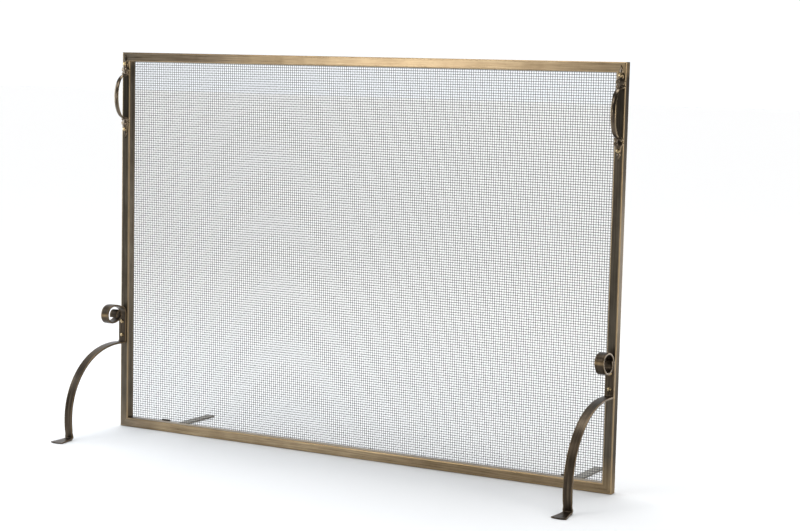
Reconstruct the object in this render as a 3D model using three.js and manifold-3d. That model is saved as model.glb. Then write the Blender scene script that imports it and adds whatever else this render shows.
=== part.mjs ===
// A free-standing fireplace screen. A square-tube frame holds one panel of woven wire mesh, clamped
// to its back by flat strips. Two scrolled flat-bar legs stand in front, two flat-bar feet reach
// back, and a cast bow handle is screwed to each stile.
//
// Millimetres. +X is to the right, -Y is the room side (front) and +Z is up. The origin is the
// middle of the bottom rail's underside.

import * as THREE from 'three';
import { mergeVertices } from 'three/addons/utils/BufferGeometryUtils.js';
import Module from 'manifold-3d';

const wasm = await Module();
wasm.setup();

// ---- Driving dimensions ----

const WIDTH = 1117.6; // outside width of the frame, 44 in
const HEIGHT = 787.4; // outside height of the frame, 31 in
const TUBE = 19.05; // square tube, 3/4 in
const TUBE_WALL = 1.5;
const TUBE_CORNER = 2.2; // outside corner radius
const GAP = 0.3; // left between pieces that touch

const MESH_SHEET = 0.35; // a plain sheet with the weight of the woven wire
const WOVEN_DEPTH = 2.4; // room for the two crossing wires
const MESH_EDGE = 3; // from the edge of the frame to the edge of the mesh
const STRIP_WIDTH = 12.7;
const STRIP_THICKNESS = 2;

const LEG_WIDTH = 18.2; // flat bar
const LEG_THICKNESS = 4;
const LEG_REACH = 180.8; // from the frame's front face to the leg's lower stretch
const LEG_TOP = 180.2; // height of the bend under the plate
const LEG_SCREW_HEIGHTS = [195.5, 224.5];
const LEFT_LEG_OUT = 2.2; // how far the left leg sits outside its stile's middle

// Middle line of each leg's scroll as [y, z] from the leg's back, from the curl's end round to
// the plate. The two were rolled by hand and differ a little.
const SCROLLS = {
  left: [
    [-33.2, 236.4], [-33.4, 242], [-30.6, 247.6], [-24.6, 249.8], [-18.8, 246.2], [-18.4, 238.8],
    [-23.4, 232.4], [-32, 228.8], [-41.6, 227], [-52, 227.6], [-60.6, 234.4], [-62.6, 245.6],
    [-57.2, 256.4], [-46, 261.2], [-33, 261], [-20.6, 258], [-9.6, 254], [-3.2, 247.2], [-2, 238],
    [-2, 228],
  ],
  right: [
    [-14.6, 248.4], [-12.4, 242.6], [-13.6, 236], [-19.4, 230.8], [-30, 228.2], [-42.2, 230.4],
    [-51.8, 239.8], [-56, 250.6], [-50.8, 260.2], [-39.6, 264.4], [-26, 264.2], [-14.8, 258.4],
    [-8.2, 249.8], [-3.8, 239], [-2, 228],
  ],
};

// The rest of a leg's middle line below its plate, as [y, z] control points of smooth curves.
const LEG_BEND = [[-2, 186.2], [-2, LEG_TOP], [-8, LEG_TOP]];
const LEG_ARCH = [[-8, LEG_TOP], [-116, 189.8], [-LEG_REACH, 120], [-LEG_REACH, 42]];
const LEG_SHIN = [[-LEG_REACH, 42], [-LEG_REACH, 28], [-179, 16], [-177.4, 7]];
const LEG_HEEL = [[-177.4, 7], [-176.6, 2], [-182, 2]];

const TOE_START = -182; // y where the toe starts to widen
const TOE_END = -220.8;
const TOE_FLARE = 0.68; // how much wider the toe's end is than the bar
const TOE_SPREAD = 1.4; // power of the flare
const TOE_THINNING = 0.4; // share of the bar's thickness lost at the toe's end
const TOE_BULGE = 6; // rise of the toe's rounded end

const FOOT_WIDTH = 19.05; // flat bar, 3/4 in by 1/8 in
const FOOT_THICKNESS = 3.2;
const FOOT_REACH = 171; // behind the frame's back face
const FOOT_TAB = 20.5; // height of the upright tab
const FOOT_INSET = 101.6; // from the frame's side to the tab's middle, 4 in
const FOOT_BEND = 1.5; // inside radius of the tab's bend

const HANDLE_HEIGHT = 696; // height of the handle's middle
const HANDLE_SCREW = 67.6; // from the middle to each screw
const BOW_END = 44.5; // from the middle to each end of the bow
const BOW_ROOT = 2.4; // frame face to the bow's middle line at its ends
const BOW_WIDTH = 10.4;
const BOW_THICKNESS = 5;
const BOW_REACH = 31.5; // frame face to the bow's middle line

// Outline of a handle's end plate: distance from the handle's middle, half width, thickness.
const END_PLATE = [
  [42, 3.4, 3.6], [44.5, 8.4, 4.2], [47, 9.9, 4.4], [49.2, 8.6, 4.6], [50.8, 6.8, 4.8],
  [53, 9.3, 5], [55.6, 9.9, 5], [58.6, 8.3, 4.8], [61.6, 6.4, 4.4], [67.6, 5.8, 3.9],
  [70.6, 4.7, 3.4], [72, 3.5, 3], [74.6, 4.2, 3], [78, 3.3, 2.8], [82, 1.7, 2.3], [86, 0.4, 1.5],
];

const SEAT_DEPTH = 3; // handle plate left under each screw's head
const DOME_SCREW = { shank: 2, length: 7, head: 4.2, rise: 2.6 }; // radii and lengths
const SMALL_SCREW = { shank: 1.7, length: 9, head: 3.2, rise: 2 };
const HOLE_PLAY = 0.25; // hole radius over shank radius
const STRIP_SCREWS_ACROSS = [-358, -119, 119, 358];
const STRIP_SCREWS_UP = [150, 393.7, 637.4];
const FOOT_SCREW_SPREAD = 4.8;

const FRONT = -TUBE / 2;
const BACK = TUBE / 2;
const STILE_X = WIDTH / 2 - TUBE / 2;
const STRIP_Y = BACK + GAP + WOVEN_DEPTH + GAP; // front face of the strips
const STRIP_BACK = STRIP_Y + STRIP_THICKNESS;
const STRIP_IN = TUBE / 2; // the strips run along the middle of the tubes' back faces
const TAB_Y = STRIP_BACK + GAP; // front face of the rear feet's tabs

// ---- Materials ----

const finish = (color, roughness, metalness = 1) =>
  new THREE.MeshStandardMaterial({ color, roughness, metalness });
const FINISH = {
  frame: finish(0x7c6448, 0.38),
  strip: finish(0x5a4a38, 0.5),
  wire: finish(0x35383a, 0.6),
  leg: finish(0x4a4034, 0.42),
  handle: finish(0x4f4535, 0.36),
  brass: finish(0xa98a50, 0.3),
  screw: finish(0x4a453d, 0.45),
};

// ---- Solids ----

/** A manifold solid from a closed three.js geometry. */
function solid(geometry) {
  const bare = geometry.clone();
  bare.deleteAttribute('normal');
  bare.deleteAttribute('uv');
  const merged = mergeVertices(bare, 1e-4);
  return new wasm.Manifold(new wasm.Mesh({
    numProp: 3,
    vertProperties: new Float32Array(merged.attributes.position.array),
    triVerts: new Uint32Array(merged.index.array),
  }));
}

/** A three.js geometry from a manifold solid. */
function geometryOf(body) {
  const { vertProperties, triVerts } = body.getMesh();
  const geometry = new THREE.BufferGeometry();
  geometry.setAttribute('position', new THREE.BufferAttribute(new Float32Array(vertProperties), 3));
  geometry.setIndex(new THREE.BufferAttribute(new Uint32Array(triVerts), 1));
  geometry.computeVertexNormals();
  return geometry;
}

/** Cuts round holes along Y, each given as [x, z], from y0 to y1. */
function drill(body, centres, radius, y0, y1) {
  for (const [x, z] of centres) {
    const cutter = new THREE.CylinderGeometry(radius, radius, y1 - y0, 12);
    cutter.translate(x, (y0 + y1) / 2, z);
    body = body.subtract(solid(cutter));
  }
  return body;
}

/** A closed body through equal rings of points, capped flat at both ends. */
function loft(rings) {
  const count = rings[0].length;
  const positions = rings.flat().flatMap((p) => [p.x, p.y, p.z]);
  const index = [];
  for (let i = 0; i + 1 < rings.length; i++) {
    for (let j = 0; j < count; j++) {
      const a = i * count + j;
      const b = i * count + ((j + 1) % count);
      index.push(a, b, a + count, b, b + count, a + count);
    }
  }
  const last = (rings.length - 1) * count;
  for (let j = 1; j + 1 < count; j++) {
    index.push(0, j + 1, j);
    index.push(last, last + j, last + j + 1);
  }
  const geometry = new THREE.BufferGeometry();
  geometry.setAttribute('position', new THREE.Float32BufferAttribute(positions, 3));
  geometry.setIndex(index);
  return geometry;
}

// ---- Frame ----

/** A rounded square in the XY plane, centred on the origin. */
function roundedSquare(half, radius, Kind = THREE.Shape) {
  const shape = new Kind();
  const inner = half - radius;
  shape.absarc(inner, inner, radius, 0, Math.PI / 2);
  shape.absarc(-inner, inner, radius, Math.PI / 2, Math.PI);
  shape.absarc(-inner, -inner, radius, Math.PI, Math.PI * 1.5);
  shape.absarc(inner, -inner, radius, Math.PI * 1.5, Math.PI * 2);
  shape.closePath();
  return shape;
}

/** A hollow tube along X whose ends are mitred, shorter on the +Z side, centred on its middle. */
function mitredTube(length) {
  const section = roundedSquare(TUBE / 2, TUBE_CORNER);
  const hollow = TUBE / 2 - TUBE_WALL;
  section.holes.push(roundedSquare(hollow, TUBE_CORNER - TUBE_WALL, THREE.Path));
  const geometry = new THREE.ExtrudeGeometry(section, {
    depth: length, bevelEnabled: false, curveSegments: 3,
  });
  geometry.translate(0, 0, -length / 2);
  geometry.rotateY(Math.PI / 2); // the section's x now points along -Z
  const position = geometry.attributes.position;
  for (let i = 0; i < position.count; i++) {
    const x = position.getX(i);
    const shorter = position.getZ(i) + TUBE / 2 + GAP / Math.SQRT2;
    position.setX(i, x - Math.sign(x) * shorter);
  }
  return geometry;
}

const footScrews = (side) => [-1, 1].map((k) => [
  side * (WIDTH / 2 - FOOT_INSET) + k * FOOT_SCREW_SPREAD, STRIP_IN,
]);
const bottomScrews = STRIP_SCREWS_ACROSS.map((x) => [x, STRIP_IN]);
const topScrews = STRIP_SCREWS_ACROSS.map((x) => [x, HEIGHT - STRIP_IN]);
const sideScrews = (side) => STRIP_SCREWS_UP.map((z) => [side * STILE_X, z]);
const handleScrews = (side) => [HANDLE_SCREW, -HANDLE_SCREW].map((u) => [
  side * STILE_X, HANDLE_HEIGHT + u,
]);
const legX = (side) => side * STILE_X - (side < 0 ? LEFT_LEG_OUT : 0);
const legScrews = (side) => LEG_SCREW_HEIGHTS.map((z) => [legX(side), z]);
const smallHole = SMALL_SCREW.shank + HOLE_PLAY;
const domeHole = DOME_SCREW.shank + HOLE_PLAY;

/** A rail or stile turned to its side of the frame and drilled through one wall for its screws. */
function frameTube(length, turn, x, z, frontHoles, backHoles) {
  const geometry = mitredTube(length);
  geometry.rotateY(turn);
  geometry.translate(x, 0, z);
  let body = solid(geometry);
  body = drill(body, frontHoles, domeHole, FRONT - 1, FRONT + TUBE_WALL + 1);
  return geometryOf(drill(body, backHoles, smallHole, BACK - TUBE_WALL - 1, BACK + 1));
}

function topRail() {
  return frameTube(WIDTH, Math.PI, 0, HEIGHT - TUBE / 2, [], topScrews);
}

function bottomRail() {
  const screws = [...bottomScrews, ...footScrews(-1), ...footScrews(1)];
  return frameTube(WIDTH, 0, 0, TUBE / 2, [], screws);
}

function stile(side) {
  const front = [...handleScrews(side), ...legScrews(side)];
  return frameTube(HEIGHT, -side * Math.PI / 2, side * STILE_X, HEIGHT / 2, front, sideScrews(side));
}

// ---- Mesh panel and the strips that clamp it ----

function meshPanel() {
  const sheet = new THREE.BoxGeometry(
    WIDTH - 2 * MESH_EDGE, MESH_SHEET, HEIGHT - 2 * MESH_EDGE,
  );
  const y = BACK + GAP + WOVEN_DEPTH / 2;
  sheet.translate(0, y, HEIGHT / 2);
  const holes = [
    ...topScrews, ...bottomScrews, ...footScrews(-1), ...footScrews(1),
    ...sideScrews(-1), ...sideScrews(1),
  ];
  return geometryOf(drill(solid(sheet), holes, smallHole, y - 1, y + 1));
}

/** A clamping strip, with its middle at x, z. */
function strip(width, height, x, z, holes) {
  const bar = new THREE.BoxGeometry(width, STRIP_THICKNESS, height);
  bar.translate(x, STRIP_Y + STRIP_THICKNESS / 2, z);
  return geometryOf(drill(solid(bar), holes, smallHole, STRIP_Y - 1, STRIP_BACK + 1));
}

const stripInset = STRIP_IN - STRIP_WIDTH / 2;
const longStrip = WIDTH - 2 * stripInset;
const shortStrip = HEIGHT - 2 * (stripInset + STRIP_WIDTH + GAP);

// ---- Front legs ----

const vectors = (points) => points.map(([y, z]) => new THREE.Vector2(y, z));

/** The middle line of a leg's bar in the YZ plane, from the end of the curl to the toe. */
function legLine(scroll) {
  const toe = new THREE.Vector2(TOE_END, LEG_THICKNESS / 2);
  const stretches = [
    [new THREE.SplineCurve(vectors(scroll)), 44],
    [new THREE.QuadraticBezierCurve(...vectors(LEG_BEND)), 4],
    [new THREE.CubicBezierCurve(...vectors(LEG_ARCH)), 20],
    [new THREE.CubicBezierCurve(...vectors(LEG_SHIN)), 3],
    [new THREE.QuadraticBezierCurve(...vectors(LEG_HEEL)), 4],
    [new THREE.LineCurve(vectors(LEG_HEEL)[2], toe), 6],
  ];
  const line = stretches.flatMap(([curve, count]) => curve.getPoints(count));
  return line.filter((point, i) => i === 0 || point.distanceTo(line[i - 1]) > GAP);
}

/** The closed outline of a bar of the given thickness along a middle line. */
function barOutline(line, thickness) {
  const left = [];
  const right = [];
  line.forEach((point, i) => {
    const ahead = line[Math.min(i + 1, line.length - 1)];
    const behind = line[Math.max(i - 1, 0)];
    const along = ahead.clone().sub(behind).normalize();
    const across = new THREE.Vector2(-along.y, along.x).multiplyScalar(thickness / 2);
    left.push(point.clone().add(across));
    right.push(point.clone().sub(across));
  });
  return new THREE.Shape([...left, ...right.reverse()]);
}

/** A shape drawn in the YZ plane, as a bar centred on x = 0. */
function acrossX(shape, width) {
  const geometry = new THREE.ExtrudeGeometry(shape, { depth: width, bevelEnabled: false });
  geometry.translate(0, 0, -width / 2);
  geometry.applyMatrix4(new THREE.Matrix4().makeBasis(
    new THREE.Vector3(0, 1, 0), new THREE.Vector3(0, 0, 1), new THREE.Vector3(1, 0, 0),
  ));
  return geometry;
}

/** Widens and thins a leg's toe into a fishtail, from the heel to its end. */
function flareToe(geometry) {
  const position = geometry.attributes.position;
  for (let i = 0; i < position.count; i++) {
    const out = (TOE_START - position.getY(i)) / (TOE_START - TOE_END);
    if (position.getZ(i) > LEG_THICKNESS + 1 || out <= 0) continue;
    position.setX(i, position.getX(i) * (1 + TOE_FLARE * out ** TOE_SPREAD));
    position.setZ(i, position.getZ(i) * (1 - TOE_THINNING * out));
  }
}

/** A tall block whose front end is an arc in plan, to round the end of a toe. */
function toeTrimmer() {
  const halfWidth = LEG_WIDTH;
  const radius = (halfWidth ** 2 + TOE_BULGE ** 2) / (2 * TOE_BULGE);
  const spread = Math.asin(halfWidth / radius);
  const plan = new THREE.Shape();
  plan.absarc(0, TOE_END + radius, radius, -Math.PI / 2 - spread, -Math.PI / 2 + spread);
  plan.lineTo(halfWidth, 1);
  plan.lineTo(-halfWidth, 1);
  plan.closePath();
  const block = new THREE.ExtrudeGeometry(plan, {
    depth: HEIGHT, bevelEnabled: false, curveSegments: 10,
  });
  block.translate(0, 0, -1);
  return block;
}

/** A leg with its plate's back on y = 0 and its middle on x = 0. */
function legGeometry(scroll) {
  const geometry = acrossX(barOutline(legLine(scroll), LEG_THICKNESS), LEG_WIDTH);
  flareToe(geometry);
  const body = solid(geometry).intersect(solid(toeTrimmer()));
  const holes = LEG_SCREW_HEIGHTS.map((z) => [0, z]);
  return geometryOf(drill(body, holes, domeHole, -LEG_THICKNESS - 1, 1));
}

// ---- Rear feet ----

/** A rear foot whose tab's front face is on y = 0. */
function footGeometry() {
  const t = FOOT_THICKNESS;
  const reach = FOOT_REACH - (TAB_Y - BACK);
  const outer = t + FOOT_BEND;
  const profile = new THREE.Shape();
  profile.moveTo(0, FOOT_TAB);
  profile.lineTo(0, outer);
  profile.absarc(outer, outer, outer, Math.PI, Math.PI * 1.5);
  profile.lineTo(reach, 0);
  profile.lineTo(reach, t);
  profile.lineTo(outer, t);
  profile.absarc(outer, outer, FOOT_BEND, Math.PI * 1.5, Math.PI, true);
  profile.lineTo(t, FOOT_TAB);
  profile.closePath();
  const geometry = acrossX(profile, FOOT_WIDTH);
  const holes = [-1, 1].map((k) => [k * FOOT_SCREW_SPREAD, STRIP_IN]);
  return geometryOf(drill(solid(geometry), holes, smallHole, -1, t + 1));
}

// ---- Handles ----

/** One domed end plate, with its back on y = 0, reaching up or down from the handle's middle. */
function endPlate(way) {
  const steps = 6;
  const rings = END_PLATE.map(([u, half, thickness]) => {
    const ring = [];
    for (let j = 0; j <= steps; j++) {
      const angle = Math.PI * j / steps;
      const y = -thickness * Math.sin(angle) ** 0.7;
      ring.push(new THREE.Vector3(-half * Math.cos(angle), y, way * u));
    }
    return ring;
  });
  return loft(way > 0 ? rings : rings.reverse());
}

/** The bow between the end plates: an oval bar on a flattened half circle. */
function bow() {
  const steps = 18;
  const sides = 10;
  const slimming = 0.28; // share of its girth lost at the ends
  const rings = [];
  for (let i = 0; i <= steps; i++) {
    const angle = Math.PI * (i / steps - 0.5);
    const z = BOW_END * Math.sin(angle);
    const y = -BOW_ROOT - (BOW_REACH - BOW_ROOT) * Math.cos(angle) ** 0.9;
    const girth = 1 - slimming + slimming * Math.cos(angle);
    const outward = new THREE.Vector2(-BOW_END * Math.cos(angle), BOW_REACH * Math.sin(angle));
    outward.normalize();
    const ring = [];
    for (let j = 0; j < sides; j++) {
      const turn = 2 * Math.PI * j / sides;
      const across = -BOW_WIDTH / 2 * girth * Math.cos(turn);
      const out = BOW_THICKNESS / 2 * girth * Math.sin(turn);
      ring.push(new THREE.Vector3(across, y + outward.x * out, z + outward.y * out));
    }
    rings.push(ring);
  }
  return loft(rings);
}

/** A whole handle about its middle, with its back on y = 0 and a flat seat at each screw. */
function handleGeometry() {
  const clear = BOW_REACH + BOW_THICKNESS; // beyond the bow's front
  const tall = 4 * HANDLE_SCREW;
  const trim = new THREE.BoxGeometry(clear, clear, tall);
  trim.translate(0, -clear / 2, 0);
  let body = solid(bow()).add(solid(endPlate(1))).add(solid(endPlate(-1)));
  body = body.intersect(solid(trim));
  const centres = [[0, HANDLE_SCREW], [0, -HANDLE_SCREW]];
  body = drill(body, centres, DOME_SCREW.head + GAP, -clear, -SEAT_DEPTH);
  return geometryOf(drill(body, centres, domeHole, -clear, 1));
}

// ---- Screws ----

/** A round-headed screw with the underside of its head on y = 0 and its shank along +Y. */
function screwGeometry({ shank, length, head, rise }) {
  const rim = 0.5; // height of the head's straight edge
  const profile = [new THREE.Vector2(0, -rise)];
  for (const share of [0.4, 0.75, 1]) {
    const a = share * Math.PI / 2;
    profile.push(new THREE.Vector2(head * Math.sin(a), -rim - (rise - rim) * Math.cos(a)));
  }
  profile.push(new THREE.Vector2(head, 0), new THREE.Vector2(shank, 0));
  profile.push(new THREE.Vector2(shank, length - 1), new THREE.Vector2(0, length));
  return new THREE.LatheGeometry(profile, 10);
}

// ---- Assembly ----

const screen = new THREE.Group();

function place(name, geometry, material, x = 0, y = 0, z = 0) {
  const mesh = new THREE.Mesh(geometry, material);
  mesh.name = name;
  mesh.position.set(x, y, z);
  screen.add(mesh);
  return mesh;
}

place('top_rail', topRail(), FINISH.frame);
place('bottom_rail', bottomRail(), FINISH.frame);
place('left_stile', stile(-1), FINISH.frame);
place('right_stile', stile(1), FINISH.frame);
place('wire_mesh', meshPanel(), FINISH.wire);
place('top_strip', strip(longStrip, STRIP_WIDTH, 0, HEIGHT - STRIP_IN, topScrews), FINISH.strip);
const lowScrews = [...bottomScrews, ...footScrews(-1), ...footScrews(1)];
place('bottom_strip', strip(longStrip, STRIP_WIDTH, 0, STRIP_IN, lowScrews), FINISH.strip);

for (const [side, word] of [[-1, 'left'], [1, 'right']]) {
  const x = side * STILE_X;
  const onFace = FRONT - GAP;
  const bar = strip(STRIP_WIDTH, shortStrip, x, HEIGHT / 2, sideScrews(side));
  place(`${word}_strip`, bar, FINISH.strip);
  place(`${word}_leg`, legGeometry(SCROLLS[word]), FINISH.leg, legX(side), onFace, 0);
  place(`${word}_handle`, handleGeometry(), FINISH.handle, x, onFace, HANDLE_HEIGHT);
  const footX = side * (WIDTH / 2 - FOOT_INSET);
  place(`${word}_rear_foot`, footGeometry(), FINISH.strip, footX, TAB_Y, 0);

  handleScrews(side).forEach(([sx, sz], i) => {
    const y = onFace - SEAT_DEPTH - GAP;
    place(`${word}_handle_screw_${i + 1}`, screwGeometry(DOME_SCREW), FINISH.brass, sx, y, sz);
  });
  legScrews(side).forEach(([sx, sz], i) => {
    const y = onFace - LEG_THICKNESS - GAP;
    place(`${word}_leg_screw_${i + 1}`, screwGeometry(DOME_SCREW), FINISH.brass, sx, y, sz);
  });
  placeBackScrews(`${word}_foot_screw`, footScrews(side), TAB_Y + FOOT_THICKNESS);
  placeBackScrews(`${word}_strip_screw`, sideScrews(side), STRIP_BACK);
}
placeBackScrews('top_strip_screw', topScrews, STRIP_BACK);
placeBackScrews('bottom_strip_screw', bottomScrews, STRIP_BACK);

/** Small screws driven forward from behind, with their heads on the face at y. */
function placeBackScrews(name, centres, y) {
  centres.forEach(([x, z], i) => {
    const screw = place(`${name}_${i + 1}`, screwGeometry(SMALL_SCREW), FINISH.screw, x, y + GAP, z);
    screw.rotation.z = Math.PI;
  });
}

export default screen;
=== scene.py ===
import math

import bmesh
import bpy
import numpy as np
from mathutils import Matrix, Vector, noise


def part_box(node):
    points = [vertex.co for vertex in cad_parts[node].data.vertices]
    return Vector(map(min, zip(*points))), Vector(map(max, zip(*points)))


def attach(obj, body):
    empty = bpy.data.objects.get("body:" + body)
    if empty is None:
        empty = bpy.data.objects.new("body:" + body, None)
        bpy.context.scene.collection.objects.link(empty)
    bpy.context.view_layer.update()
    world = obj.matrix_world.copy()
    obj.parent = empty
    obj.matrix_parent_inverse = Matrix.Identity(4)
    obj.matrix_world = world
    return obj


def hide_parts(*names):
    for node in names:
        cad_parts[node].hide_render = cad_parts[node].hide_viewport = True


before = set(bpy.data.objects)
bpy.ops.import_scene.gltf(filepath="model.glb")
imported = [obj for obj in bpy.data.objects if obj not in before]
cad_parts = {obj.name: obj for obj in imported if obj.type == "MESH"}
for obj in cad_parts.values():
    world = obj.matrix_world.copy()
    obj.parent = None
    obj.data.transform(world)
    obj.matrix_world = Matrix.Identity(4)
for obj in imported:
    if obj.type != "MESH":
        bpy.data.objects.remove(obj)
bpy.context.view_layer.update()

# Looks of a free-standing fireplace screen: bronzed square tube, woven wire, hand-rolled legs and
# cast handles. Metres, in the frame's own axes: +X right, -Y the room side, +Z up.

MM = 0.001

# ---- Frame and wire: sizes ----

rail_low, rail_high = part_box("top_rail")
WIDTH = rail_high.x - rail_low.x
HEIGHT = rail_high.z
TUBE = rail_high.z - rail_low.z
STILE_X = WIDTH / 2 - TUBE / 2
TUBE_CORNER = 2.2 * MM
TUBE_CORNER_STEPS = 5
TUBE_FLAT = 0.6 * MM  # beside each rounded edge, where the wear and the painted highlight fade
MITRE_GAP = 0.02 * MM
MITRE_CHAMFER = 0.06 * MM
STRIP_BEVEL = 0.35 * MM
FOOT_BEVEL = 0.5 * MM
WELD = 0.01 * MM

WIRE_PITCH = 4.7625 * MM
WIRE_RADIUS = 0.5 * MM
WIRE_SIDES = 6
WIRE_BUNDLES = 3  # pieces that the wires of one direction are split into
SHADE_STEP = 7919  # with SHADE_CYCLE, gives the greys to the wires in no plain order
SHADE_CYCLE = 13

# ---- Legs: sizes ----

_, leg_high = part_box("left_leg")
LEG_BACK = leg_high.y  # the plate's back face
LEG_WIDTH = 18.2 * MM
LEG_THICKNESS = 4 * MM
LEG_CORNER = 0.9 * MM
LEG_CORNER_STEPS = 3
LEG_FLAT = 0.8 * MM
LEG_CROWN = 0.12 * MM

# Middle lines of the legs in millimetres, as [y, z] from the plate's back, as in the frame.
LEG_RING_STEP = 1.1
LEG_TOP = 180.2
LEG_REACH = 180.8
SCROLLS = {
    "left": [
        [-33.2, 236.4], [-33.4, 242], [-30.6, 247.6], [-24.6, 249.8], [-18.8, 246.2],
        [-18.4, 238.8], [-23.4, 232.4], [-32, 228.8], [-41.6, 227], [-52, 227.6], [-60.6, 234.4],
        [-62.6, 245.6], [-57.2, 256.4], [-46, 261.2], [-33, 261], [-20.6, 258], [-9.6, 254],
        [-3.2, 247.2], [-2, 238], [-2, 228],
    ],
    "right": [
        [-14.6, 248.4], [-12.4, 242.6], [-13.6, 236], [-19.4, 230.8], [-30, 228.2],
        [-42.2, 230.4], [-51.8, 239.8], [-56, 250.6], [-50.8, 260.2], [-39.6, 264.4],
        [-26, 264.2], [-14.8, 258.4], [-8.2, 249.8], [-3.8, 239], [-2, 228],
    ],
}
LEG_BEND = [[-2, 186.2], [-2, LEG_TOP], [-8, LEG_TOP]]
LEG_ARCH = [[-8, LEG_TOP], [-116, 189.8], [-LEG_REACH, 120], [-LEG_REACH, 42]]
LEG_SHIN = [[-LEG_REACH, 42], [-LEG_REACH, 28], [-179, 16], [-177.4, 7]]
LEG_HEEL = [[-177.4, 7], [-176.6, 2], [-182, 2]]
LEG_STRETCHES = (LEG_BEND, 16), (LEG_ARCH, 120), (LEG_SHIN, 24), (LEG_HEEL, 16)  # and samples
SCROLL_SAMPLES = 240
SCROLL_FOOT = 200.2 * MM  # the curl is above this height
SHIN_BACK = -170 * MM  # the shin is in front of this

# The curl's cut end: its width and thickness as shares of the bar's, and how far it stands out.
TIP_WIDTH = 0.9
TIP_THICKNESS = 0.75
TIP_LENGTH = 0.4 * MM

# The bar's swellings at the ankle: height and reach in millimetres, change in width.
ANKLE_NECK = 15, 4, -0.06
ANKLE_SWELLING = 7, 3, 0.07
HAMMER_PLACE = 9, 9  # height and reach of the hammer marks, in millimetres
HAMMER_SIZE = 4 * MM
HAMMER_DEPTH = 0.9 * MM

CREST_PAINTED_HIGHLIGHT = 2  # a painted highlight in a band across the front of the scroll, standing in for a reflection
CREST_REACH = 2.6  # millimetres
CREST_DEPTH = 2 * MM

TOE_START = -182 * MM
TOE_END = -220.8 * MM
TOE_FLARE = 0.68
TOE_SPREAD = 1.4
TOE_THINNING = 0.4
TOE_BULGE = 6 * MM
TOE_RINGS = 34
TOE_FIRST_RING = 0.03  # as a share of the toe's length
TOE_TIP_SHAPE = (0.97, 1, 0.5)  # the last ring's size beside the one before
TOE_TIP_LENGTH = 0.3 * MM
TOE_FITS = 4  # rounds of fitting the round end to the flare
TOE_DENT_SIZE = 9 * MM
TOE_DENT_DEPTH = 0.7 * MM
TOE_DENT_LEVEL = 0.35
TOE_DENT_FADE = 3  # how soon the dents fade in along the toe
TOE_DENT_SLICE = 7  # the height in the noise that the dents are taken from

# ---- Handles and screws: sizes ----

handle_low, handle_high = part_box("left_handle")
HANDLE_MIDDLE = (handle_low.z + handle_high.z) / 2
BOW_END = 44.5 * MM
BOW_ROOT = 2.4 * MM
BOW_REACH = 31.5 * MM
BOW_WIDTH = 10.4 * MM
BOW_THICKNESS = 4.6 * MM
BOW_RINGS = 70
BOW_SIDES = 20
BOW_RIDGE = 1.2 * MM  # half width of the ridge down its front
BOW_RIDGE_RISE = 0.18  # as a share of half its thickness
BOW_BACKING = 0.85  # the same for the rest of its section
BOW_END_WIDTH = 0.6  # as a share of its middle's width
BOW_END_THICKNESS = 0.3  # share of its thickness that stays the same to the ends

# Outline of a handle's end plate in millimetres: from the middle, half width, thickness.
END_PLATE = [
    [42, 3.4, 3.6], [44.5, 8.4, 4.2], [47, 9.9, 4.4], [49.2, 8.6, 4.6], [50.8, 6.8, 4.8],
    [53, 9.3, 5], [55.6, 9.9, 5], [58.6, 8.3, 4.8], [61.6, 6.4, 4.4], [67.6, 5.8, 3.9],
    [70.6, 4.7, 3.4], [72, 3.5, 3], [74.6, 4.2, 3], [78, 3.3, 2.8], [82, 1.7, 2.3], [86, 0.4, 1.5],
]
PLATE_RINGS = 90
PLATE_STEPS = 18
PLATE_SAMPLES = 12  # to a row of the outline
SPEAR_START = 70
SPEAR_BLEND = 3
LEAF_ROOT = 44.5
LEAF_MIDDLE = 51
LEAF_REACH = 6.5
VEIN_DEPTH = 0.28
VEIN_COUNT = 2.5
VEIN_FADE = 3  # how soon the veins fade in from the plate's edge

# Powers that shape the castings: nearer to 0, a shape is fuller.
PLATE_DOME = 0.7
SPEAR_RIDGE = 0.8
BOW_ARCH = 0.9
BOW_TAPER = 0.8
BOW_SECTION = 0.8
PLATE_WEAR_AND_SHEEN = 4  # these two keep the wear and the painted highlight near the edges
BOW_WEAR_AND_SHEEN = 3

SCREW_HEAD = 4.2 * MM
SCREW_RISE = 2.6 * MM
SMALL_HEAD = 3.2 * MM
SMALL_RISE = 2 * MM
HEAD_STEPS = 9
HEAD_SIDES = 40
HEAD_EDGE = 0.18  # height of a head's straight edge, as a share of its rise
DRIVER_SLOT = 0.09  # half width and depth, as shares of the head's radius and rise
DRIVER_DEPTH = 0.35
HEAD_FLOOR = 0.12  # the least height of a head, in its driver slot
RIM_WEAR_AND_SHEEN = 0.2
SLOT_TURNS = 37, 91  # turn a screw's slot by its place across and up

# ---- Finishes ----

# Dark, middle and light streaks of each finish.
RAIL_TONES = (0.2, 0.148, 0.088), (0.345, 0.262, 0.163), (0.47, 0.37, 0.24)
STILE_TONES = (0.075, 0.062, 0.047), (0.13, 0.11, 0.084), (0.19, 0.16, 0.123)
LEG_TONES = (0.035, 0.027, 0.02), (0.07, 0.054, 0.039), (0.14, 0.108, 0.075)
CAST_TONES = (0.07, 0.055, 0.041), (0.115, 0.091, 0.068), (0.17, 0.136, 0.1)
STRIP_TONES = (0.13, 0.12, 0.1), (0.24, 0.225, 0.19), (0.38, 0.36, 0.31)
BRASS_TONES = (0.17, 0.12, 0.062), (0.28, 0.2, 0.105), (0.4, 0.3, 0.165)
ZINC_TONES = (0.07, 0.065, 0.058), (0.12, 0.11, 0.1), (0.2, 0.19, 0.17)
STREAK_STOPS = 0.32, 0.5, 0.7
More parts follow.
